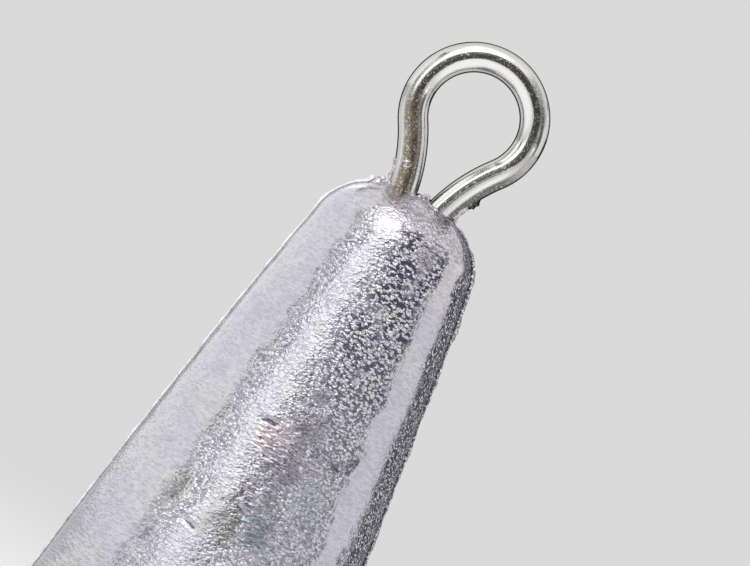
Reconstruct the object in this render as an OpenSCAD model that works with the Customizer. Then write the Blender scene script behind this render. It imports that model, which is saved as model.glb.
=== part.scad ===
// Cast lead fishing sinker: a teardrop casting with a bent steel wire eye in its narrow end.
// It stands on the cut end of its pouring gate, centred on the Z axis, with the eye at the top.
// The two halves of the mould met in the XZ plane, and the wire lies in that plane too.

/* [Lead body] */
// Largest diameter of the body
body_d = 22; // [20:0.5:24]
// Length of the body, from the cut gate to the crown
body_l = 55; // [50:1:60]
// Radius of the long, nearly straight flank between the belly and the shoulder
flank_r = 500; // [450:10:550]
// Diameter at the centre of the shoulder, where the flank turns in
top_d = 11.2; // [10:0.1:12.4]
// Radius of the shoulder
shoulder_r = 4; // [3.4:0.1:4.6]
// Radius of the low dome that closes the narrow end
crown_r = 9.4; // [8.4:0.1:10.4]

/* [Pouring gate] */
// Diameter of the stub where the gate was cut off
gate_d = 8; // [7:0.1:9]
// Height of the stub below the belly
gate_h = 0.4; // [0.3:0.05:0.5]

/* [Parting line] */
// Width of the ridge of flash along the joint of the mould
ridge_w = 0.3; // [0.2:0.02:0.4]
// Height of the ridge above the skin of the body
ridge_h = 0.12; // [0.1:0.01:0.2]

/* [Wire eye] */
// Diameter of the wire
wire_d = 2; // [1.8:0.05:2.2]
// Inside diameter of the ring
eye_d = 5.9; // [5.5:0.1:6.5]
// Height of the ring's centre above the crown
eye_rise = 6.3; // [5.9:0.1:6.8]
// Angle from the centreline at which the wire leaves the ring
neck_angle = 35; // [33:0.5:37]
// Gap between the two legs inside the lead
leg_gap = 0.3; // [0.2:0.05:0.5]

/* [Anchor in the lead] */
// Straight length of each leg
leg_l = 12; // [10:0.5:14]
// Radius of the bend that turns each foot outwards, at the middle of the wire
foot_r = 3.5; // [3:0.1:4]
// Angle that each foot turns through
foot_angle = 80; // [70:1:90]

/* [Hidden] */
$fa = 0.1;
$fs = 0.3;
// Steps in which the large arcs of the outline are drawn on screen
outline_steps = 360;
lead_colour = [0.72, 0.72, 0.75];
steel_colour = [0.8, 0.79, 0.76];
// Coarse step of a place, see place()
place_step = 0.001;
// Reach of a cutting shape, past everything that it cuts
far = 2 * body_l;

// The outline is four arcs, each touching the next inside it: belly, flank, shoulder and crown
belly_r = body_d / 2;
belly_centre = [0, gate_h + belly_r];
crown_centre = [0, body_l - crown_r];
shoulder_x = top_d / 2 - shoulder_r;
shoulder_rise = sqrt(pow(crown_r - shoulder_r, 2) - pow(shoulder_x, 2));
shoulder_centre = crown_centre + [shoulder_x, shoulder_rise];

// The flank's centre lies far beyond the axis, where it touches both the belly and the shoulder
span = shoulder_centre - belly_centre;
belly_reach = flank_r - belly_r;
shoulder_reach = flank_r - shoulder_r;
along = (pow(norm(span), 2) + pow(belly_reach, 2) - pow(shoulder_reach, 2)) / (2 * norm(span));
aside = sqrt(pow(belly_reach, 2) - pow(along, 2));
flank_centre = belly_centre + (along * span + aside * [-span.y, span.x]) / norm(span);

// Bearings, seen from the larger arc's centre, of the points where two arcs touch
belly_end = bearing(flank_centre, belly_centre);
flank_end = bearing(flank_centre, shoulder_centre);
shoulder_end = bearing(crown_centre, shoulder_centre);

// The wire runs from the ring through two necks that bend the other way, and then straight down
ring_r = (eye_d + wire_d) / 2;
eye_z = body_l + eye_rise;
leg_x = (wire_d + leg_gap) / 2;
neck_r = (ring_r * cos(neck_angle) - leg_x) / (1 - cos(neck_angle));
neck_centre = (ring_r + neck_r) * [cos(neck_angle), -sin(neck_angle)];
leg_foot = neck_centre.y - leg_l;

function bearing(from, to) = atan2(to.y - from.y, to.x - from.x);

// Moves by a coarse and then by a fine amount, which keeps enough digits for arcs to meet exactly
module place(point) {
    coarse = [for (value = point) place_step * round(value / place_step)];
    translate(coarse)
        translate(point - coarse)
            children();
}

module disc(centre, radius) {
    place(centre)
        circle(r = radius, $fn = outline_steps);
}

// Everything on the left of a line through a point
module left_of(point, line_bearing) {
    place(point)
        rotate(line_bearing)
            translate([-far, 0])
                square([2 * far, far]);
}

// Half of the body's outline, with all its arcs grown outwards by the same amount
module half_outline(grow = 0) {
    intersection() {
        translate([0, -far])
            square([far, 3 * far]);
        union() {
            difference() {
                disc(belly_centre, belly_r + grow);
                left_of(belly_centre, belly_end);
            }
            difference() {
                intersection() {
                    disc(flank_centre, flank_r + grow);
                    left_of(belly_centre, belly_end);
                }
                left_of(shoulder_centre, flank_end);
            }
            difference() {
                intersection() {
                    disc(shoulder_centre, shoulder_r + grow);
                    left_of(shoulder_centre, flank_end);
                }
                left_of(shoulder_centre, shoulder_end);
            }
            intersection() {
                disc(crown_centre, crown_r + grow);
                left_of(shoulder_centre, shoulder_end);
            }
        }
    }
}

module parting_ridge() {
    intersection() {
        rotate_extrude()
            half_outline(ridge_h);
        translate([-far, -ridge_w / 2, 0])
            cube([2 * far, ridge_w, far]);
    }
}

// One bend of the wire, drawn flat, from a bearing at its centre and on through a sweep
module bend(centre, radius, start, sweep) {
    place(centre)
        rotate_extrude(angle = sweep, start = start)
            place([radius, 0])
                circle(d = wire_d);
}

// The right leg, with its neck above it and its foot below
module leg() {
    bend(neck_centre, neck_r, 180 - neck_angle, neck_angle);
    place([leg_x, leg_foot])
        rotate([-90, 0, 0])
            cylinder(d = wire_d, h = leg_l);
    bend([leg_x + foot_r, leg_foot], foot_r, 180, foot_angle);
}

// The whole wire, which also shapes its own bed in the lead
module bent_wire() {
    place([0, 0, eye_z])
        rotate([90, 0, 0]) {
            bend([0, 0], ring_r, -neck_angle, 180 + 2 * neck_angle);
            leg();
            mirror([1, 0, 0])
                leg();
        }
}

module lead_body() {
    color(lead_colour)
        difference() {
            union() {
                rotate_extrude()
                    half_outline();
                parting_ridge();
                cylinder(d = gate_d, h = belly_r);
            }
            bent_wire();
        }
}

module wire_eye() {
    color(steel_colour)
        bent_wire();
}

lead_body();
wire_eye();
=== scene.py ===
"""Cast lead fishing sinker with a bent steel wire eye, in a plain pale studio."""
import math
import bpy
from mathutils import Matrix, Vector, noise


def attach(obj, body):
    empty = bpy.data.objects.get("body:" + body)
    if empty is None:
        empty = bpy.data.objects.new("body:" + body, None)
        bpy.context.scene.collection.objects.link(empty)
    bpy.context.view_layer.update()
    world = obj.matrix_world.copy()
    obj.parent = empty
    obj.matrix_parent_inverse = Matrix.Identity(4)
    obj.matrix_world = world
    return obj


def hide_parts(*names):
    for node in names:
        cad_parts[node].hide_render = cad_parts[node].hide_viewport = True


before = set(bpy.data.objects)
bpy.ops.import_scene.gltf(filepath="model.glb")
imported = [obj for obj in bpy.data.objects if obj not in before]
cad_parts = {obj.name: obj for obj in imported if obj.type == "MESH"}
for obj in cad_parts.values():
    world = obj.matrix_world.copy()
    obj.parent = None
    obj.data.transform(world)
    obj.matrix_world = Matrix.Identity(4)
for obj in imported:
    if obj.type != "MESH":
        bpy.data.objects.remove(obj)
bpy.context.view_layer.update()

MM = 0.001

# Lead body, as in the CAD source: four arcs, each touching the next
BODY_L = 55 * MM
BELLY_R = 11 * MM
FLANK_R = 500 * MM
SHOULDER_R = 4 * MM
CROWN_R = 9.4 * MM
SHOULDER_X = 1.6 * MM
GATE_R = 4 * MM
GATE_H = 0.4 * MM

# Wire, as in the CAD source
WIRE_R = 1 * MM
RING_R = 3.95 * MM
EYE_Z = 61.3 * MM
NECK_ANGLE = math.radians(35)
LEG_X = 1.15 * MM
LEG_L = 12 * MM
FOOT_R = 3.5 * MM
FOOT_ANGLE = math.radians(80)

BELLY = (0.0, GATE_H + BELLY_R)
CROWN = (0.0, BODY_L - CROWN_R)
SHOULDER = (SHOULDER_X, CROWN[1] + math.sqrt((CROWN_R - SHOULDER_R) ** 2 - SHOULDER_X ** 2))


def bearing(start, end):
    """Direction from one point of the XZ plane to another."""
    return math.atan2(end[1] - start[1], end[0] - start[0])


def flank_centre():
    """The flank's centre lies far beyond the axis, where it touches both belly and shoulder."""
    across, up = SHOULDER[0] - BELLY[0], SHOULDER[1] - BELLY[1]
    span = math.hypot(across, up)
    along = (span ** 2 + (FLANK_R - BELLY_R) ** 2 - (FLANK_R - SHOULDER_R) ** 2) / (2 * span)
    aside = math.sqrt((FLANK_R - BELLY_R) ** 2 - along ** 2)
    return (BELLY[0] + (along * across - aside * up) / span,
            BELLY[1] + (along * up + aside * across) / span)


FLANK = flank_centre()
BELLY_END = bearing(FLANK, BELLY)
FLANK_END = bearing(FLANK, SHOULDER)
SHOULDER_END = bearing(CROWN, SHOULDER)
NECK_R = (RING_R * math.cos(NECK_ANGLE) - LEG_X) / (1 - math.cos(NECK_ANGLE))
NECK = ((RING_R + NECK_R) * math.cos(NECK_ANGLE), EYE_Z - (RING_R + NECK_R) * math.sin(NECK_ANGLE))

# The eye leans a little to the right of the body's axis
LEAN = math.radians(2.6)
LEAN_Z = 53.5 * MM

# Points of a spun shape that lie closer than this are one point
SEAM_GAP = 0.8e-6
# Vertex groups hold what is painted in this many steps
GROUP_STEPS = 200


# Modelling

def spin_arc(centre, angle, steps):
    """Carries the selected point or ring round a centre in the XZ plane."""
    bpy.ops.mesh.spin(steps=steps, angle=angle, center=(centre[0], 0, centre[1]), axis=(0, 1, 0))


def run_straight(move, steps):
    """Carries the selected point or ring along a straight line."""
    step = (move[0] / steps, 0, move[1] / steps)
    for _ in range(steps):
        bpy.ops.mesh.extrude_region_move(TRANSFORM_OT_translate={"value": step})


def pick(piece):
    """Leaves edit mode and makes a piece the only one selected."""
    if bpy.context.object and bpy.context.object.mode != "OBJECT":
        bpy.ops.object.mode_set(mode="OBJECT")
    bpy.ops.object.select_all(action="DESELECT")
    bpy.context.view_layer.objects.active = piece
    piece.select_set(True)


def close_ends():
    """Caps the open ends of a tube."""
    bpy.ops.mesh.select_all(action="DESELECT")
    bpy.ops.mesh.select_non_manifold(extend=False, use_wire=False, use_boundary=True,
                                     use_multi_face=False, use_non_contiguous=False,
                                     use_verts=False)
    bpy.ops.mesh.edge_face_add()


def close_skin():
    """Merges the seams of a spun shape and turns its faces outwards."""
    bpy.ops.mesh.select_all(action="SELECT")
    bpy.ops.mesh.remove_doubles(threshold=SEAM_GAP)
    bpy.ops.mesh.normals_make_consistent(inside=False)
    bpy.ops.object.mode_set(mode="OBJECT")


def paint(piece, name, amount):
    """Stores a function of the place, from 0 to 1, as a vertex group and as an attribute."""
    weights = [min(max(amount(point.co), 0.0), 1.0) for point in piece.data.vertices]
    layer = piece.data.attributes.new(name + "_paint", "FLOAT", "POINT")
    layer.data.foreach_set("value", weights)
    group = piece.vertex_groups.new(name=name)
    levels = {}
    for index, weight in enumerate(weights):
        levels.setdefault(round(weight * GROUP_STEPS), []).append(index)
    for level, indices in levels.items():
        if level:
            group.add(indices, level / GROUP_STEPS, "REPLACE")


def cloud_pattern(size, depth=1):
    """Smooth noise for swell, with features of about this size."""
    pattern = bpy.data.textures.new("cloud", "CLOUDS")
    pattern.noise_scale = size
    pattern.noise_depth = depth
    pattern.noise_basis = "IMPROVED_PERLIN"
    return pattern


def swell(piece, height, group="", pattern=None, direction="NORMAL"):
    """Pushes the skin out or in, by a pattern, a painted group or both."""
    push = piece.modifiers.new("swell", "DISPLACE")
    push.strength = height
    push.direction = direction
    push.vertex_group = group
    push.mid_level = 0.5 if pattern else 0.0
    if pattern:
        push.texture = pattern
        push.texture_coords = "LOCAL"
    pick(piece)
    bpy.ops.object.modifier_apply(modifier=push.name)


def smooth(value, start, end):
    """0 before start, 1 after end, and soft in between."""
    part = min(max((value - start) / (end - start), 0.0), 1.0)
    return part * part * (3 - 2 * part)


def band(value, start, end, soft):
    """1 between start and end, and soft on both sides."""
    return smooth(value, start - soft, start + soft) * smooth(value, end + soft, end - soft)


def rumple(place, size, shift=0.0):
    """Smooth noise from -1 to 1 with features of about this size."""
    return noise.noise(place / size + Vector((shift, shift * 0.7, shift * 1.3)))


def azimuth(place):
    """0 faces the camera and grows to the right; in degrees."""
    return math.degrees(math.atan2(place.x, -place.y))


def lean(piece):
    """Tips everything above the crown over to the right."""
    pick(piece)
    for point in piece.data.vertices:
        point.select = point.co.z > LEAN_Z
    bpy.ops.object.mode_set(mode="EDIT")
    bpy.ops.transform.rotate(value=-LEAN, orient_axis="Y", center_override=(0, 0, LEAN_Z))
    bpy.ops.object.mode_set(mode="OBJECT")


def wire_ring(name, centre, radius, start):
    """The first ring of a tube, on an arc round a centre, at a bearing."""
    bpy.ops.object.select_all(action="DESELECT")
    at = (centre[0] + radius * math.cos(start), 0, centre[1] + radius * math.sin(start))
    bpy.ops.mesh.primitive_circle_add(vertices=48, radius=WIRE_R, fill_type="NOTHING",
                                      location=at, rotation=(0, -start, 0))
    piece = bpy.context.object
    piece.name = name
    bpy.ops.object.transform_apply(location=True, rotation=True, scale=True)
    bpy.ops.object.mode_set(mode="EDIT")
    bpy.ops.mesh.select_all(action="SELECT")
    return piece


# The lead casting

def cast_body():
    """The turned body, from the middle of the gate's face out, up the flank and over the crown."""
    bpy.ops.object.select_all(action="DESELECT")
    bpy.ops.mesh.primitive_plane_add(size=MM, location=(0, 0, 0))
    piece = bpy.context.object
    piece.name = "lead_casting"
    bpy.ops.object.mode_set(mode="EDIT")
    bpy.ops.mesh.merge(type="CENTER")
    gate_bearing = -math.acos(GATE_R / BELLY_R)
    gate_top = BELLY[1] + BELLY_R * math.sin(gate_bearing)
    run_straight((GATE_R, 0), 14)
    run_straight((0, gate_top), 6)
    spin_arc(BELLY, BELLY_END - gate_bearing, 46)
    # The upper part of the flank is the one seen close, so its rings are finer
    span = FLANK_END - BELLY_END
    spin_arc(FLANK, span * 0.25, 32)
    spin_arc(FLANK, span * 0.75, 180)
    spin_arc(SHOULDER, SHOULDER_END - FLANK_END, 34)
    spin_arc(CROWN, math.pi / 2 - SHOULDER_END, 24)
    bpy.ops.mesh.select_all(action="SELECT")
    # The steps of the turning are finer across the two seams
    close_to_seam = math.radians(3)
    bpy.ops.transform.rotate(value=-close_to_seam, orient_axis="Z", center_override=(0, 0, 0))
    for angle, steps in ((2 * close_to_seam, 12), (math.pi - 2 * close_to_seam, 128)) * 2:
        bpy.ops.mesh.spin(steps=steps, angle=angle, center=(0, 0, 0), axis=(0, 0, 1))
    close_skin()
    return piece


def seam_ridge(place):
    """The ridge of flash where the two halves of the mould met."""
    if abs(place.y) > 0.3 * MM or abs(place.x) < 0.3 * MM or place.z < 1.3 * MM:
        return 0.0
    ragged = 0.55 + 0.3 * rumple(place, 1.6 * MM, 3.1) + 0.2 * rumple(place, 0.5 * MM, 9.0)
    if place.x > 0:
        ragged += 0.35 * smooth(place.z, 47 * MM, 49 * MM) * smooth(place.z, 54 * MM, 53 * MM)
    return smooth(abs(place.y), 0.28 * MM, 0.02 * MM) * max(ragged, 0.15)


# Dents on the front: middle and radius
DENTS = ((Vector((2.4, -5.3, 51.9)) * MM, 1.1 * MM), (Vector((0.9, -7.4, 40.9)) * MM, 0.9 * MM))


def grain_zone(place):
    """Where the skin is grainy: the mould was rough there.

    The zones lie between bearings round the body, in degrees, with wavy borders."""
    turn = azimuth(place) + 8 * rumple(place, 2.4 * MM, 1.7) + 5 * rumple(place, 0.9 * MM, 5.7)
    low = smooth(place.z, 50 * MM, 26 * MM)
    front = smooth(turn, -14, 8) * smooth(turn, 39, 35) * (1 - 0.35 * low)
    patches = rumple(Vector((place.x, place.y, 0.4 * place.z)), 4.5 * MM, 30.0)
    sides = max(band(turn, 60, 116, 3), 0.6 * smooth(abs(turn), 112, 122) * smooth(patches, -0.1, 0.2))
    crease = 0.7 * smooth(turn, -36, -26) * smooth(turn, -18, -25)
    crease *= 0.55 + 0.45 * smooth(rumple(place, 2.0 * MM, 21.0), -0.2, 0.3)
    scales = 0.2 * smooth(turn, -34, -24)
    bare = smooth(rumple(place, 1.3 * MM, 8.8), 0.36, 0.5)
    top = place.z + 0.7 * MM * rumple(place, 0.9 * MM, 17.0)
    zone = max(front * (1 - 0.3 * bare), sides) * smooth(top, 53.5 * MM, 52.3 * MM)
    fine = max(crease, scales * smooth(turn, 40, 30), 0.07) * smooth(top, 54.3 * MM, 53.5 * MM)
    crown = 0.35 * smooth(place.z, 52.0 * MM, 53.4 * MM) * smooth(place.x, -4 * MM, 0)
    zone = max(zone, fine, crown) * smooth(place.z, 1.5 * MM, 4 * MM)
    for spot, size in DENTS:
        zone *= 0.25 + 0.75 * smooth((place - spot).length, 0.4 * size, size)
    return zone


def edge_shade(place):
    """Where painted shade darkens the skin along the right-hand joint of the mould."""
    turn = azimuth(place) + 3 * rumple(place, 2.4 * MM, 1.7) + 2 * rumple(place, 0.9 * MM, 5.7)
    start = place.z + 5 * MM * rumple(place, 3 * MM, 2.0)
    return band(turn, 60.5, 116, 3) * smooth(start, 6 * MM, 20 * MM) * smooth(start, 57 * MM, 54 * MM)


# Cold shuts on the front: both ends, across and up the body in millimetres, and how deep each is
SHUTS = (
    ((-2.0, 37.8), (-0.5, 38.1), 1.0),
    ((-1.5, 37.2), (0.4, 37.4), 0.6),
    ((-1.3, 36.6), (0.5, 36.7), 0.6),
    ((-1.1, 36.0), (0.9, 36.2), 0.6),
    ((1.2, 36.2), (2.7, 35.3), 0.5),
    ((3.3, 37.6), (4.3, 37.3), 0.9),
    ((4.3, 37.3), (4.7, 38.8), 0.9),
    ((1.6, 38.4), (3.0, 37.7), 0.5),
    ((-2.9, 29.9), (-1.9, 29.6), 0.9),
    ((-1.0, 32.4), (0.9, 32.0), 0.6),
    ((0.2, 30.6), (2.2, 30.9), 0.6),
)


def shut_lines(place):
    """Narrow cuts along the cold shuts."""
    if place.y > 0 or not 28 * MM < place.z < 40 * MM:
        return 0.0
    spot = Vector((place.x, place.z)) + Vector((rumple(place, 0.8 * MM, 2.0),
                                                rumple(place, 0.8 * MM, 6.0))) * 0.22 * MM
    depth = 0.0
    for start, end, deep in SHUTS:
        first = Vector(start) * MM
        line = Vector(end) * MM - first
        part = min(max((spot - first).dot(line) / line.length_squared, 0.0), 1.0)
        away = (spot - first - line * part).length
        depth = max(depth, deep * smooth(away, 0.24 * MM, 0.03 * MM) * (1 - abs(2 * part - 1) ** 4))
    return depth


def dent_spots(place):
    return max(smooth((place - spot).length, size, 0.2 * size) for spot, size in DENTS)


# Crumbs of lead on the front: middle and radius
CRUMBS = ((Vector((0.66, -8.3, 33.6)) * MM, 0.45 * MM), (Vector((1.9, -8.1, 33.9)) * MM, 0.3 * MM),
          (Vector((-0.2, -8.5, 31.4)) * MM, 0.35 * MM))


def crumb_spots(place):
    return max(smooth((place - spot).length, size, 0.3 * size) for spot, size in CRUMBS)


# Lumps of lead drawn up on the crown beside the wire: place across and to the back and radius,
# in millimetres, and how high each is
LUMPS = (
    ((-3.05, -0.25), 0.42, 0.75),
    ((-2.75, 0.2), 0.3, 1.0),
    ((-3.4, 0.0), 0.25, 0.7),
    ((-0.15, -0.3), 0.34, 0.65),
    ((0.2, 0.15), 0.4, 0.9),
    ((0.45, -0.35), 0.24, 0.75),
    ((2.75, 0.25), 0.35, 0.6),
    ((1.2, -1.35), 0.35, 0.35),
)


def crown_lumps(place):
    """Collars and crumbs of lead round the two exits of the wire."""
    if place.z < 53.5 * MM:
        return 0.0
    height = 0.0
    for side in (-1, 1):
        away = math.hypot(place.x - side * 1.45 * MM, place.y)
        collar = band(away, 0.8 * MM, 1.25 * MM, 0.12 * MM)
        height = max(height, collar * (0.25 + 0.3 * rumple(place, 0.35 * MM, 4.0)))
    for (across, back), size, high in LUMPS:
        away = math.hypot(place.x - across * MM, place.y - back * MM)
        away += 0.2 * size * MM * rumple(place, 0.2 * MM, 12.0)
        height = max(height, high * smooth(away, size * MM, 0.25 * size * MM))
    return height


def cut_gate(place):
    """The stub where the gate was snipped off is rough."""
    return smooth(place.z, 1.3 * MM, 0.9 * MM) * smooth(math.hypot(place.x, place.y), 0, 0.5 * MM)


casting = cast_body()
paint(casting, "seam", seam_ridge)
paint(casting, "grain", grain_zone)
paint(casting, "edge", edge_shade)
paint(casting, "shuts", shut_lines)
paint(casting, "dents", dent_spots)
paint(casting, "crumbs", crumb_spots)
paint(casting, "lumps", crown_lumps)
paint(casting, "gate", cut_gate)
swell(casting, 0.34 * MM, "seam")
swell(casting, 0.12 * MM, pattern=cloud_pattern(5 * MM))
swell(casting, 0.05 * MM, pattern=cloud_pattern(1.4 * MM))
swell(casting, 0.07 * MM, "grain", cloud_pattern(0.7 * MM))
swell(casting, -0.10 * MM, "shuts")
swell(casting, -0.05 * MM, "dents")
swell(casting, 0.12 * MM, "crumbs")
swell(casting, 0.55 * MM, "lumps", direction="Z")
swell(casting, 0.10 * MM, "gate", cloud_pattern(0.7 * MM, 2))


def lead_sleeve(side):
    """Lead that crept up the outside of one leg, in the groove of the mould."""
    centre = (side * NECK[0], NECK[1])
    low, high = math.radians(171), math.radians(158)
    if side < 0:
        low, high = math.pi - low, math.pi - high
    sleeve = wire_ring("sleeve", centre, NECK_R, low)
    spin_arc(centre, high - low, 30)
    close_ends()
    close_skin()

    def crept(place):
        middle = centre[0] - side * math.sqrt(NECK_R ** 2 - (place.z - centre[1]) ** 2)
        out = side * (place.x - middle) / WIRE_R
        top = 56.7 * MM + 0.5 * MM * rumple(place, 0.5 * MM, side * 3.0)
        skin = smooth(out, 0.72, 0.97) * smooth(place.z, top + 0.1 * MM, top - 0.25 * MM)
        skin *= 0.35 + 0.7 * rumple(place, 0.34 * MM, 15.0 + side)
        splash = Vector((-2.1, -0.95, 56.55)) * MM
        away = (place - splash).length + 0.3 * MM * rumple(place, 0.3 * MM, 5.0)
        return max(skin, 0.6 * smooth(away, 0.42 * MM, 0.1 * MM))

    paint(sleeve, "skin", crept)
    swell(sleeve, -0.08 * MM)
    swell(sleeve, 0.34 * MM, "skin")
    lean(sleeve)
    return sleeve


sleeves = [lead_sleeve(-1), lead_sleeve(1)]
pick(casting)
for sleeve in sleeves:
    sleeve.select_set(True)
bpy.ops.object.join()
bpy.ops.object.shade_smooth()


# The wire

def bend_wire():
    """The whole wire, from its right foot round the eye to its left foot."""
    foot = (LEG_X + FOOT_R, NECK[1] - LEG_L)
    piece = wire_ring("steel_wire", foot, FOOT_R, math.pi + FOOT_ANGLE)
    spin_arc(foot, -FOOT_ANGLE, 24)
    run_straight((0, LEG_L), 40)
    spin_arc(NECK, -NECK_ANGLE, 60)
    spin_arc((0, EYE_Z), math.pi + 2 * NECK_ANGLE, 150)
    spin_arc((-NECK[0], NECK[1]), -NECK_ANGLE, 60)
    run_straight((0, -LEG_L), 40)
    spin_arc((-foot[0], foot[1]), -FOOT_ANGLE, 24)
    close_ends()
    close_skin()
    return piece


def unbent(place):
    """A place on the wire as if it were straight: along it from the top, outwards and back."""
    side = 1 if place.x >= 0 else -1
    across, up = abs(place.x), place.z - EYE_Z
    turn = math.atan2(across, up)
    quarter = math.pi / 2 + NECK_ANGLE
    if turn < quarter and math.hypot(across, up) < 2 * RING_R:
        return Vector((side * RING_R * turn, math.hypot(across, up) - RING_R, place.y))
    across, up = NECK[0] - across, place.z - NECK[1]
    run = RING_R * quarter
    if up > 0:
        turn = math.atan2(up, across)
        run += NECK_R * (NECK_ANGLE - turn)
        return Vector((side * run, NECK_R - math.hypot(across, up), place.y))
    run += NECK_R * NECK_ANGLE - up
    return Vector((side * run, abs(place.x) - LEG_X, place.y))


def burr_spots(place):
    """A rough burr on the outside of the right leg."""
    away = (place - Vector((2.95, -0.1, 56.6)) * MM).length
    if away > MM:
        return 0.0
    away += 0.25 * MM * rumple(place, 0.22 * MM, 3.0)
    return smooth(away, 0.55 * MM, 0.1 * MM) * (0.5 + 0.9 * abs(rumple(place, 0.16 * MM, 7.0)))


wire = bend_wire()
runs = wire.data.attributes.new("wire_run", "FLOAT_VECTOR", "POINT")
runs.data.foreach_set("vector", [c for point in wire.data.vertices for c in unbent(point.co)])
paint(wire, "burr", burr_spots)
swell(wire, 0.03 * MM, pattern=cloud_pattern(3 * MM))
swell(wire, 0.35 * MM, "burr")
lean(wire)
pick(wire)
bpy.ops.object.shade_smooth()


# Materials

class Socket:
    """A socket of a material; sums and products of sockets add their Math nodes."""

    def __init__(self, tree, socket):
        self.tree = tree
        self.socket = socket

    def math(self, operation, *values):
        return self.tree.node("ShaderNodeMath", {"operation": operation}, dict(enumerate(values)))

    def __add__(self, other):
        return self.math("ADD", self, other)

    def __sub__(self, other):
        return self.math("SUBTRACT", self, other)

    def __rsub__(self, other):
        return self.math("SUBTRACT", other, self)

    def __mul__(self, other):
        return self.math("MULTIPLY", self, other)

    def __truediv__(self, other):
        return self.math("DIVIDE", self, other)

    def __pow__(self, other):
        return self.math("POWER", self, other)

    __radd__ = __add__
    __rmul__ = __mul__


class Finish:
    """The node tree of one material or world."""

    def __init__(self, owner):
        owner.use_nodes = True
        self.tree = owner.node_tree

    def node(self, kind, settings=None, values=None, output=0):
        """Adds a node: its settings first, then numbers or links into its sockets."""
        made = self.tree.nodes.new(kind)
        for name, value in (settings or {}).items():
            setattr(made, name, value)
        for name, value in (values or {}).items():
            self.feed(made.inputs[name], value)
        return Socket(self, made.outputs[output])

    def feed(self, target, value):
        if isinstance(value, Socket):
            self.tree.links.new(value.socket, target)
        else:
            target.default_value = value

    def outputs(self, socket):
        return [Socket(self, output) for output in socket.socket.node.outputs]

    def paint(self, name):
        """What was painted on the piece under this name."""
        return self.node("ShaderNodeAttribute", {"attribute_name": name + "_paint"}, output=2)

    def fade(self, value, start, end):
        """0 before start, 1 after end, and soft in between."""
        return self.node("ShaderNodeMapRange", {"interpolation_type": "SMOOTHSTEP"},
                         {"Value": value, "From Min": start, "From Max": end})

    def mix(self, amount, first, second):
        first, second = ((*c, 1.0) if isinstance(c, tuple) else c for c in (first, second))
        return self.node("ShaderNodeMix", {"data_type": "RGBA"}, {0: amount, 6: first, 7: second},
                         output=2)

    def laid(self, place, size, turn=(0.0, 0.0, 0.0), shift=0.0):
        """A place in units of a pattern's size along its own turned axes."""
        size = size if isinstance(size, tuple) else (size, size, size)
        offset = tuple(shift * s for s in size)
        return self.node("ShaderNodeMapping", {"vector_type": "TEXTURE"},
                         {"Vector": place, "Location": offset, "Rotation": turn, "Scale": size})

    def cloud(self, place, size, detail=2.0, rough=0.5, shift=0.0, turn=(0.0, 0.0, 0.0)):
        """Soft noise from 0 to 1, with features of about this size along x, y and z."""
        return self.node("ShaderNodeTexNoise", {},
                         {"Vector": self.laid(place, size, turn, shift), "Scale": 1.0,
                          "Detail": detail, "Roughness": rough})

    def domes(self, place, size, shift=0.0, turn=(0.0, 0.0, 0.0), stir=0.0):
        """Bumps about this far apart: 0 on their tops and falling to -0.5 between them.

        The more they are stirred, the less round they are."""
        laid = self.laid(place, size, turn, shift)
        swirl = self.node("ShaderNodeTexNoise", {}, {"Vector": laid, "Scale": 0.9, "Detail": 1.0},
                          output=1)
        laid = self.node("ShaderNodeVectorMath", {"operation": "MULTIPLY_ADD"},
                         {0: swirl, 1: (stir, stir, stir), 2: laid})
        cells = self.node("ShaderNodeTexVoronoi", {},
                          {"Vector": laid, "Scale": 1.0, "Randomness": 1.0})
        return 0 - cells ** 1.5

    def spot(self, place, centre, radius):
        """1 near a place on the piece, in millimetres, and 0 beyond the radius."""
        centre = tuple(c * MM for c in centre)
        away = self.node("ShaderNodeVectorMath", {"operation": "DISTANCE"},
                         {0: place, 1: centre}, output=1)
        return self.fade(away, radius * MM, radius * 0.5 * MM)


def new_finish(name):
    """A material, its node tree and the sockets of its shader."""
    material = bpy.data.materials.new(name)
    finish = Finish(material)
    shader = finish.tree.nodes["Principled BSDF"]
    return material, finish, shader.inputs


LEAD = (0.62, 0.62, 0.63)
LILAC = (0.585, 0.565, 0.655)
ROSE = (0.66, 0.60, 0.62)
OLIVE = (0.56, 0.57, 0.53)
DULL = (0.40, 0.39, 0.45)
# Painted shade, laid in the pits, the cuts, along the right edge and at the foot of the seam ridge
PAINTED_SHADE = (0.07, 0.065, 0.105)
# Painted glints, on the tops of the grain and along the seam ridge
PAINTED_GLINT = (0.95, 0.95, 0.97)
# Sizes of the grain, of the folds in wrinkled lead and of the fine strokes across the body
GRAIN_SIZE = (0.27 * MM, 0.27 * MM, 0.175 * MM)
FOLD_SIZE = (0.8 * MM, 0.8 * MM, 0.28 * MM)
STROKE_SIZE = (0.6 * MM, 0.6 * MM, 0.17 * MM)
GRAIN_TILT = math.radians(3)
# Heights of the bumps; the grain's and the edge's are added up along the dark edge
GRAIN_RELIEF = 0.13 * MM
EDGE_RELIEF = 0.17 * MM
UNEVEN_RELIEF = 0.05 * MM
STROKE_RELIEF = 0.012 * MM
BLOTCH_RELIEF = 0.02 * MM
FOLD_RELIEF = 0.13 * MM

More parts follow.
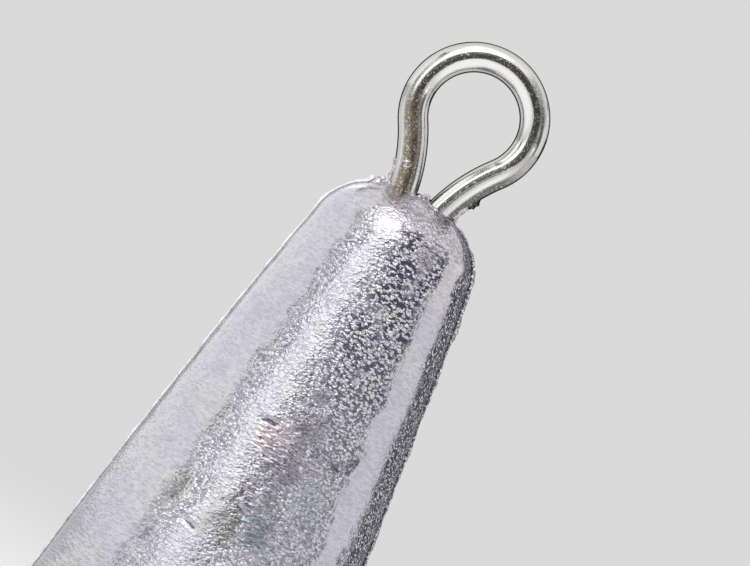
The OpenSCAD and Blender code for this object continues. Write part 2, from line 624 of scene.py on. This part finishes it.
# Flows with a bloom of their own: place in millimetres, radius, colour and how wrinkled each is
BLOOMS = (
    ((-0.5, -8.1, 37.2), 1.7, (0.58, 0.47, 0.48), 1.0),
    ((3.4, -7.5, 34.9), 1.5, (0.60, 0.66, 0.72), 0.6),
    ((2.4, -7.8, 36.8), 1.3, (0.55, 0.51, 0.61), 0.8),
    ((1.1, -8.0, 38.8), 1.9, (0.45, 0.42, 0.48), 0.1),
    ((0.9, -8.2, 36.0), 1.9, (0.35, 0.32, 0.38), 0.4),
    ((0.5, -8.5, 33.4), 1.9, (0.38, 0.35, 0.42), 0.5),
    ((1.4, -8.7, 31.5), 1.7, (0.36, 0.42, 0.49), 0.2),
    ((-0.8, -9.0, 30.6), 1.8, (0.42, 0.43, 0.40), 0.1),
    ((-4.6, -7.7, 31.5), 1.5, (0.60, 0.61, 0.57), 0.0),
)


def cast_lead():
    """Cast lead: painted shade in the pits and painted glints on the tops where it is grainy, strokes
    and blooms elsewhere.
    """
    material, lead, shader = new_finish("cast_lead")
    place = lead.node("ShaderNodeTexCoord", output=3)
    x, _, z = lead.outputs(lead.node("ShaderNodeSeparateXYZ", {}, {"Vector": place}))
    # Patterns
    rough = lead.paint("grain")
    tilt = (0, -GRAIN_TILT, 0)
    mess = lead.cloud(place, 0.16 * MM, 1, 0.5, 51.0)
    dots = lead.domes(place, GRAIN_SIZE, 0.0, tilt, 1.6) + (mess - 0.5) * 0.3
    uneven = lead.cloud(place, 0.5 * MM, 1, 0.5, 31.0)
    cuts = lead.fade(lead.paint("shuts"), 0.4, 0.75)
    ridge = lead.paint("seam")
    edge = lead.paint("edge")
    folds = lead.domes(place, FOLD_SIZE, 13.0, (0, 0, 0), 1.0)
    strokes = lead.cloud(place, STROKE_SIZE, 2, 0.55, 4.0, tilt)
    blotch = lead.cloud(place, 1.2 * MM, 3, 0.55, 17.0)
    tint = lead.cloud(place, 3.5 * MM, 2, 0.5, 11.0)
    stain = lead.cloud(place, 2.4 * MM, 2, 0.5, 23.0)
    # Colours, each laid over the ones before it
    colour = lead.mix(lead.fade(tint, 0.35, 0.65), LEAD, LILAC)
    colour = lead.mix(lead.fade(z + (x * 0.5), 50 * MM, 54.5 * MM) * 0.8, colour, ROSE)
    colour = lead.mix(rough * 0.6, colour, LILAC)
    colour = lead.mix(lead.fade(stain, 0.52, 0.62) * rough * 0.8, colour, OLIVE)
    right = lead.fade(z, 46 * MM, 36 * MM) * lead.fade(x, 3 * MM, 5.5 * MM)
    colour = lead.mix(right * 0.8, colour, LILAC)
    flowed, wrinkled = 0, 0
    for centre, radius, bloom, wrinkles in BLOOMS:
        flow = lead.spot(place, centre, radius) * lead.fade(blotch, 0.36, 0.5)
        colour = lead.mix(flow * 0.85, colour, bloom)
        flowed = flow + flowed
        wrinkled = flow * wrinkles + wrinkled
    wrinkled = wrinkled.math("MINIMUM", wrinkled, 1.0)
    grain = rough * (1 - 0.6 * flowed.math("MINIMUM", flowed, 1.0))
    colour = lead.mix(lead.fade(strokes, 0.54, 0.40) * 0.45, colour, DULL)
    colour = lead.mix(lead.fade(blotch, 0.60, 0.36) * 0.22, colour, DULL)
    # Painted shade between the bumps of the grain, and painted glints on their tops
    pit_shade = lead.fade(dots, -0.26, -0.48) * grain * (1 - lead.fade(z, 48 * MM, 28 * MM) * 0.4)
    cap_glints = lead.fade(dots + edge * 0.06, -0.28, -0.06) * grain
    # Painted shade along the right-hand joint of the mould, with brighter painted glints on its grain
    colour = lead.mix(edge * 0.95, colour, PAINTED_SHADE)
    # Painted shade in the cold shut cuts, together with the painted shade of the pits
    colour = lead.mix(pit_shade.math("MAXIMUM", pit_shade, cuts * 0.9), colour, PAINTED_SHADE)
    colour = lead.mix(cap_glints * (0.65 + edge * 0.35), colour, PAINTED_GLINT)
    # Painted shade along the foot of the seam ridge
    foot = lead.fade(ridge, 0.01, 0.08) * lead.fade(ridge, 0.25, 0.12)
    colour = lead.mix(foot * 0.6, colour, PAINTED_SHADE)
    # Painted highlight along the top of the seam ridge
    colour = lead.mix(lead.fade(ridge, 0.2, 0.35) * (0.8 - edge * 0.5), colour, PAINTED_GLINT)
    lead.feed(shader["Base Color"], colour)
    lead.feed(shader["Metallic"], 1.0)
    lead.feed(shader["Roughness"], 0.14 + 0.08 * blotch - grain * 0.06)
    # Relief
    relief = GRAIN_RELIEF + edge * EDGE_RELIEF
    height = (dots + 0.25) * grain * relief + (uneven - 0.5) * grain * UNEVEN_RELIEF
    height = height + strokes * STROKE_RELIEF + blotch * BLOTCH_RELIEF
    height = height + (folds + 0.25) * wrinkled * FOLD_RELIEF
    bump = lead.node("ShaderNodeBump", {}, {"Strength": 1.0, "Distance": 1.0, "Height": height})
    lead.feed(shader["Normal"], bump)
    return material


STEEL = (0.78, 0.77, 0.745)
HIGHLIGHT_STEEL = (0.95, 0.945, 0.93)
# Dull steel for the draw lines, and painted shade on the innermost side
DULL_AND_SHADED_STEEL = (0.42, 0.41, 0.39)
DARK_STEEL = (0.08, 0.078, 0.075)
BROWN = (0.18, 0.125, 0.09)
OLIVE_BROWN = (0.24, 0.21, 0.14)
# What the steel mirrors at a grazing angle, at its edges, is darkened by this
EDGE_TINT = (0.25, 0.25, 0.25, 1.0)
# Sizes of the draw lines and of the patches, along the wire and across it
DRAW_SIZE = (9 * MM, 0.09 * MM, 0.09 * MM)
PATCH_SIZE = (1.6 * MM, 0.5 * MM, 0.5 * MM)
# Heights of the bumps; the last is for the tarnish and the painted dark reflection
DRAW_RELIEF = 0.010 * MM
FINE_RELIEF = 0.004 * MM
TARNISH_AND_REFLECTION_RELIEF = 0.03 * MM


def drawn_steel():
    """Bright drawn wire: draw lines, a painted dark reflection, a painted highlight on the inner side,
    painted shade on the innermost side and along the rims, and brown tarnish on the left leg.
    """
    material, steel, shader = new_finish("steel_wire")
    place = steel.node("ShaderNodeTexCoord", output=3)
    run = steel.node("ShaderNodeAttribute", {"attribute_name": "wire_run"}, output=1)
    along, out, back = steel.outputs(steel.node("ShaderNodeSeparateXYZ", {}, {"Vector": run}))
    fine = steel.cloud(place, 0.13 * MM, 2, 0.6)
    draw = steel.cloud(run, DRAW_SIZE, 3, 0.6, 3.0)
    patch = steel.cloud(run, PATCH_SIZE, 2, 0.5, 9.0)
    # Where the tarnish and the painted dark reflection lie
    front = steel.fade(back, 0.1 * MM, -0.45 * MM)
    leg = steel.fade(along, -6.2 * MM, -7.6 * MM)
    outer = steel.fade(out, -0.5 * MM, -0.3 * MM) * steel.fade(out, 0.7 * MM, 0.44 * MM)
    tarnish = leg * front * outer * steel.fade(patch, 0.2, 0.45)
    neck = steel.fade(along, 6 * MM, 9 * MM)
    sway = steel.fade(along, -1 * MM, -5 * MM) * 0.13 + steel.fade(along, 3.8 * MM, 5.2 * MM) * 0.12
    offset = out + (sway - 0.12 + neck * 0.20) * MM
    wide = 0.28 * MM - neck * (0.11 * MM)
    middle = steel.fade(offset.math("ABSOLUTE", offset) / wide, 1.0, 0.65)
    right = steel.fade(along, 1 * MM, 2.2 * MM) * steel.fade(along, 5 * MM, 4 * MM)
    right = right * steel.fade(out, 0.05 * MM, 0.2 * MM) * steel.fade(out, 0.8 * MM, 0.6 * MM)
    under = neck * steel.fade(out, 0.42 * MM, 0.58 * MM)
    dark_reflection = middle.math("MAXIMUM", middle, right * 0.65)
    dark_reflection = dark_reflection.math("MAXIMUM", dark_reflection, under * 0.9)
    dark_reflection = dark_reflection * steel.fade(back, 0.3 * MM, -0.2 * MM) * steel.fade(patch, 0.15, 0.4)
    # Colours, each laid over the ones before it
    brown = steel.mix(steel.fade(patch, 0.4, 0.6), BROWN, OLIVE_BROWN)
    brown = steel.mix(steel.fade(fine, 0.54, 0.68) * 0.8, brown, STEEL)
    grey = steel.mix(steel.fade(fine, 0.56, 0.70) * 0.8, DARK_STEEL, STEEL)
    # Painted highlight along the inner side of the wire
    inner_highlight = steel.fade(out - neck * (0.6 * MM), -0.05 * MM, -0.25 * MM)
    colour = steel.mix(inner_highlight, STEEL, HIGHLIGHT_STEEL)
    colour = steel.mix(steel.fade(draw, 0.60, 0.46) * (0.45 - inner_highlight * 0.3), colour, DULL_AND_SHADED_STEEL)
    # Painted dark reflection along the middle of the wire, speckled with steel
    colour = steel.mix(dark_reflection * 0.95, colour, grey)
    colour = steel.mix(tarnish * 0.9, colour, brown)
    burr = steel.paint("burr")
    colour = steel.mix(steel.fade(burr, 0.03, 0.2) * 0.85, colour, DARK_STEEL)
    # Painted shade on the innermost side of the wire
    inner_shade = steel.fade(out, -0.60 * MM, -0.80 * MM)
    colour = steel.mix(inner_shade * 0.6, colour, DULL_AND_SHADED_STEEL)
    # Painted shade along both rims of the wire
    rim_shade = steel.fade(out.math("ABSOLUTE", out), 0.89 * MM, 0.95 * MM)
    colour = steel.mix(rim_shade, colour, DARK_STEEL)
    steel.feed(shader["Base Color"], colour)
    steel.feed(shader["Metallic"], 1.0)
    steel.feed(shader["Specular Tint"], EDGE_TINT)
    steel.feed(shader["Roughness"], 0.09 + 0.06 * fine + tarnish * 0.12)
    # Relief
    tarnish_and_reflection = tarnish.math("MAXIMUM", tarnish, dark_reflection)
    height = draw * DRAW_RELIEF + fine * FINE_RELIEF + fine * tarnish_and_reflection * TARNISH_AND_REFLECTION_RELIEF
    bump = steel.node("ShaderNodeBump", {}, {"Strength": 1.0, "Distance": 1.0, "Height": height})
    steel.feed(shader["Normal"], bump)
    return material


def dress(piece, finish, node):
    """Gives a piece its finish, hangs it under the root body and hides the node that it replaces."""
    piece.data.materials.clear()
    piece.data.materials.append(finish)
    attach(piece, "root")
    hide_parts(node)


dress(casting, cast_lead(), "lead_body")
dress(wire, drawn_steel(), "wire_eye")


# Studio

FLOOR_SHADE = (0.84, 0.84, 0.845)
FLOOR_R = 3.0
# The paper turns into the backdrop between these distances from the sinker
PAPER_END = 0.12
BACKDROP_START = 0.45
BACKDROP_LIGHT = 0.70
DARK_LIGHT = 0.11
LAMP_DISTANCE = 1.5
# The ceiling fills what lies higher above the horizon than this, in degrees
CEILING_START = 38


def studio_floor():
    """White paper, which the camera sees turn into the plain backdrop further away."""
    bpy.ops.object.select_all(action="DESELECT")
    bpy.ops.mesh.primitive_circle_add(vertices=128, radius=FLOOR_R, fill_type="NGON")
    floor = bpy.context.object
    floor.name = "floor"
    material, paper, shader = new_finish("floor_paper")
    place = paper.node("ShaderNodeTexCoord", output=3)
    far = paper.node("ShaderNodeVectorMath", {"operation": "LENGTH"}, {0: place}, output=1)
    far = paper.fade(far, PAPER_END, BACKDROP_START)
    path = paper.node("ShaderNodeLightPath").socket.node
    seen = [Socket(paper, path.outputs[n])
            for n in ("Is Camera Ray", "Is Glossy Ray", "Is Transmission Ray")]
    shown = far * seen[0].math("MINIMUM", seen[0] + seen[1] + seen[2], 1.0)
    paper.feed(shader["Base Color"], (*FLOOR_SHADE, 1.0))
    paper.feed(shader["Roughness"], 0.9)
    glow = paper.node("ShaderNodeEmission", {},
                      {"Color": (1.0, 1.0, 1.0, 1.0), "Strength": BACKDROP_LIGHT})
    both = paper.node("ShaderNodeMixShader", {}, {0: shown, 2: glow})
    paper.tree.links.new(paper.tree.nodes["Principled BSDF"].outputs[0],
                         both.socket.node.inputs[1])
    paper.feed(paper.tree.nodes["Material Output"].inputs["Surface"], both)
    floor.data.materials.append(material)


studio_floor()


def studio_world():
    """Pale behind the sinker, and dark where no softbox or backdrop stands."""
    world = bpy.data.worlds.new("studio")
    bpy.context.scene.world = world
    room = Finish(world)
    way = room.node("ShaderNodeTexCoord", output=0)
    x, y, z = room.outputs(room.node("ShaderNodeSeparateXYZ", {}, {"Vector": way}))
    flat = (x * x + y * y) ** 0.5
    back = room.fade(y / flat, 0.9877, 0.9945)
    low = 1 - room.fade(z, 0.10, 0.22)
    light = DARK_LIGHT + back * low * (BACKDROP_LIGHT - DARK_LIGHT)
    shell = room.tree.nodes["Background"]
    room.feed(shell.inputs["Color"], (1.0, 1.0, 1.0, 1.0))
    room.feed(shell.inputs["Strength"], light)


studio_world()


def softbox(name, toward, low, high, radiance):
    """A soft lamp that fills a span of directions round the sinker, in degrees.

    Direction 0 lies behind the camera, and 90 is on the right."""
    middle = math.radians((toward[0] + toward[1]) / 2)
    width = 2 * LAMP_DISTANCE * math.tan(math.radians(toward[1] - toward[0]) / 2)
    tilt = math.radians((low + high) / 2)
    height = 2 * LAMP_DISTANCE * math.tan(math.radians(high - low) / 2)
    lamp = bpy.data.lights.new(name, "AREA")
    lamp.shape = "RECTANGLE"
    lamp.size, lamp.size_y = width, height
    lamp.energy = radiance * math.pi * width * height
    holder = bpy.data.objects.new(name, lamp)
    bpy.context.collection.objects.link(holder)
    out = Vector((math.sin(middle) * math.cos(tilt), -math.cos(middle) * math.cos(tilt),
                  math.sin(tilt)))
    holder.location = Vector((0, 0, 45 * MM)) + out * LAMP_DISTANCE
    holder.rotation_euler = out.to_track_quat("Z", "Y").to_euler()
    holder.visible_camera = False


softbox("left", (-160, -64), 0, 38, 1.02)
softbox("front_left", (-53, -17), 0, 70, 1.4)
softbox("front_middle", (-17, -6), 10, 70, 1.4)
softbox("front_right", (10, 50), 10, 38, 0.4)
softbox("right", (74, 119), 0, 38, 0.86)
softbox("back", (122, 200), 14, 38, 0.8)
softbox("low_right", (38, 60), 0, 6, 1.3)


def ceiling(radiance):
    """A soft round lamp overhead."""
    width = 2 * LAMP_DISTANCE / math.tan(math.radians(CEILING_START))
    lamp = bpy.data.lights.new("ceiling", "AREA")
    lamp.shape = "DISK"
    lamp.size = width
    lamp.energy = radiance * math.pi * math.pi * width * width / 4
    holder = bpy.data.objects.new("ceiling", lamp)
    bpy.context.collection.objects.link(holder)
    holder.location = (0, 0, LAMP_DISTANCE)
    holder.visible_camera = False


ceiling(0.95)


# Camera

PICTURE_WIDTH = 750
PIXELS_PER_MM = 15.45
FRAME_WIDTH = PICTURE_WIDTH / PIXELS_PER_MM * MM
CAMERA_DISTANCE = 0.35
CAMERA_X = 0.12 * MM
CAMERA_Z = 48.85 * MM
CAMERA_ROLL = math.radians(-29.9)
SENSOR = 36.0

lens = bpy.data.cameras.new("camera")
lens.sensor_width = SENSOR
lens.lens = SENSOR * CAMERA_DISTANCE / FRAME_WIDTH
lens.clip_start = 0.01
lens.clip_end = 20
camera = bpy.data.objects.new("camera", lens)
bpy.context.collection.objects.link(camera)
camera.location = (CAMERA_X, -CAMERA_DISTANCE, CAMERA_Z)
camera.rotation_euler = (math.radians(90), CAMERA_ROLL, 0)
bpy.context.scene.camera = camera
bpy.context.scene.view_settings.view_transform = "Standard"
